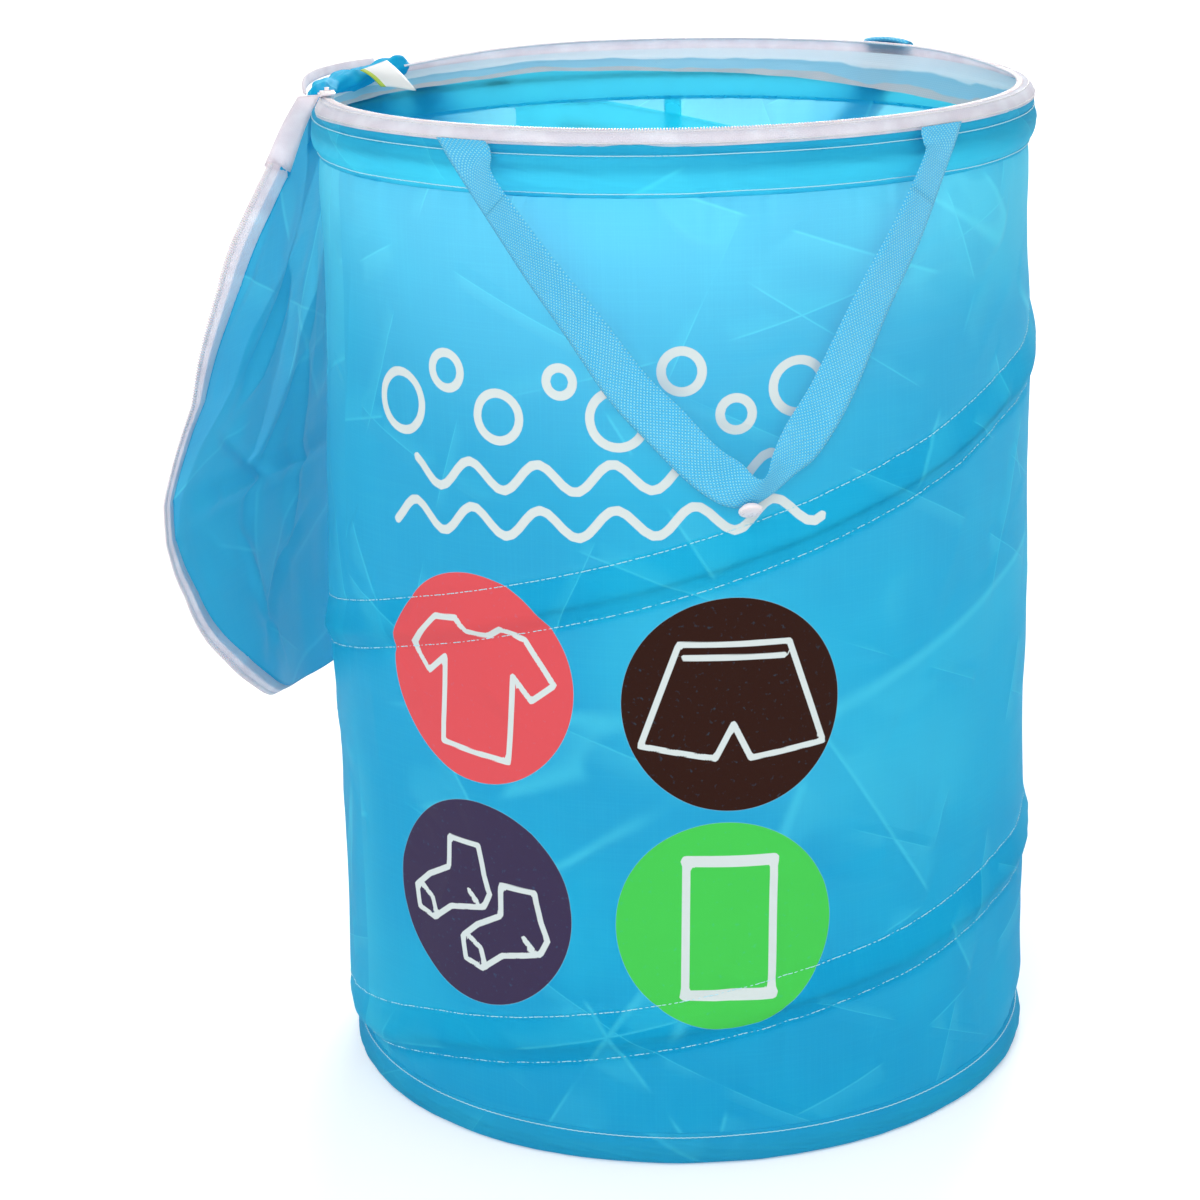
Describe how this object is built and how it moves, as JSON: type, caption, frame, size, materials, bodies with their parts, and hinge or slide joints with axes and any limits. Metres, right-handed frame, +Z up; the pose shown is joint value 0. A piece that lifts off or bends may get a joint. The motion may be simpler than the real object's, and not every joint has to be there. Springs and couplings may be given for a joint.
{
  "type": "pop up laundry hamper",
  "caption": "Collapsible round cloth laundry hamper held open by a spring wire helix, with a zipped lid hung open at one side and webbing carry handles.",
  "frame": {"origin": "centre of the round base on the floor", "axes": "+Z up the hamper's axis, -Y to the front where the print and the front handle are, +X to the right seen from the front"},
  "size_m": [0.4581, 0.4389, 0.5411],
  "materials": {
    "cloth": "thin cyan blue polyester taffeta, soft satin sheen",
    "webbing": "azure basket weave webbing",
    "tape": "white woven zip tape and binding",
    "zip_plastic": "white moulded plastic",
    "spring_wire": "bare spring steel wire",
    "label": "white satin label with a yellow green edge stripe"
  },
  "bodies": {
    "base": {"base_panel": "cloth", "base_hem": "cloth", "base_ring_wire": "spring_wire", "base_ring_ferrule": "spring_wire", "side_wall": "cloth", "side_seam": "cloth", "helix_wire": "spring_wire", "helix_sleeve": "cloth"},
    "rim": {"top_hem": "cloth", "top_ring_wire": "spring_wire", "top_ring_ferrule": "spring_wire", "inner_binding": "tape", "rim_zip_tape": "tape", "rim_zip_coil": "zip_plastic", "zip_start_stop": "zip_plastic", "zip_end_stop": "zip_plastic", "lid_hinge_roll": "cloth", "care_label": "label", "front_left_anchor": "webbing", "front_right_anchor": "webbing", "rear_right_anchor": "webbing", "rear_left_anchor": "webbing"},
    "lid": {"lid_panel": "cloth", "lid_zip_tape": "tape", "lid_zip_coil": "zip_plastic"},
    "slider": {"zip_slider": "zip_plastic"},
    "pull": {"zip_pull": "zip_plastic"},
    "front_handle": {"front_handle_webbing": "webbing", "front_snap_stud": "zip_plastic", "front_snap_cap": "zip_plastic"},
    "rear_handle": {"rear_handle_webbing": "webbing", "rear_snap_socket": "zip_plastic", "rear_snap_cap": "zip_plastic"}
  },
  "joints": [
    {"name": "collapse", "type": "slide", "parent": "base", "child": "rim", "axis": [0, 0, 1], "range_m": [-0.45, 0], "stiffness_N_per_m": 40, "springref_m": 0.15, "deforming": ["side_wall", "side_seam", "helix_wire", "helix_sleeve"]},
    {"name": "lid_swing", "type": "hinge", "parent": "rim", "child": "lid", "pos_m": [-0.17572, 0.06396, 0.5356], "axis": [0.342, 0.9397, 0], "range_deg": [0, 262]},
    {"name": "zip_slide", "type": "hinge", "parent": "rim", "child": "slider", "pos_m": [0, 0, 0.5346], "axis": [0, 0, 1], "range_deg": [0, 312]},
    {"name": "pull_flip", "type": "hinge", "parent": "slider", "child": "pull", "pos_m": [-0.17924, -0.0316, 0.5378], "axis": [-0.9848, -0.1736, 0], "range_deg": [0, 110]},
    {"name": "front_handle_swing", "type": "hinge", "parent": "rim", "child": "front_handle", "pos_m": [0.01387, -0.15853, 0.5298], "axis": [-0.9962, -0.0872, 0], "range_deg": [0, 170]},
    {"name": "rear_handle_swing", "type": "hinge", "parent": "rim", "child": "rear_handle", "pos_m": [-0.01803, 0.14686, 0.5298], "axis": [0.9925, 0.1219, 0], "range_deg": [0, 170]}
  ]
}
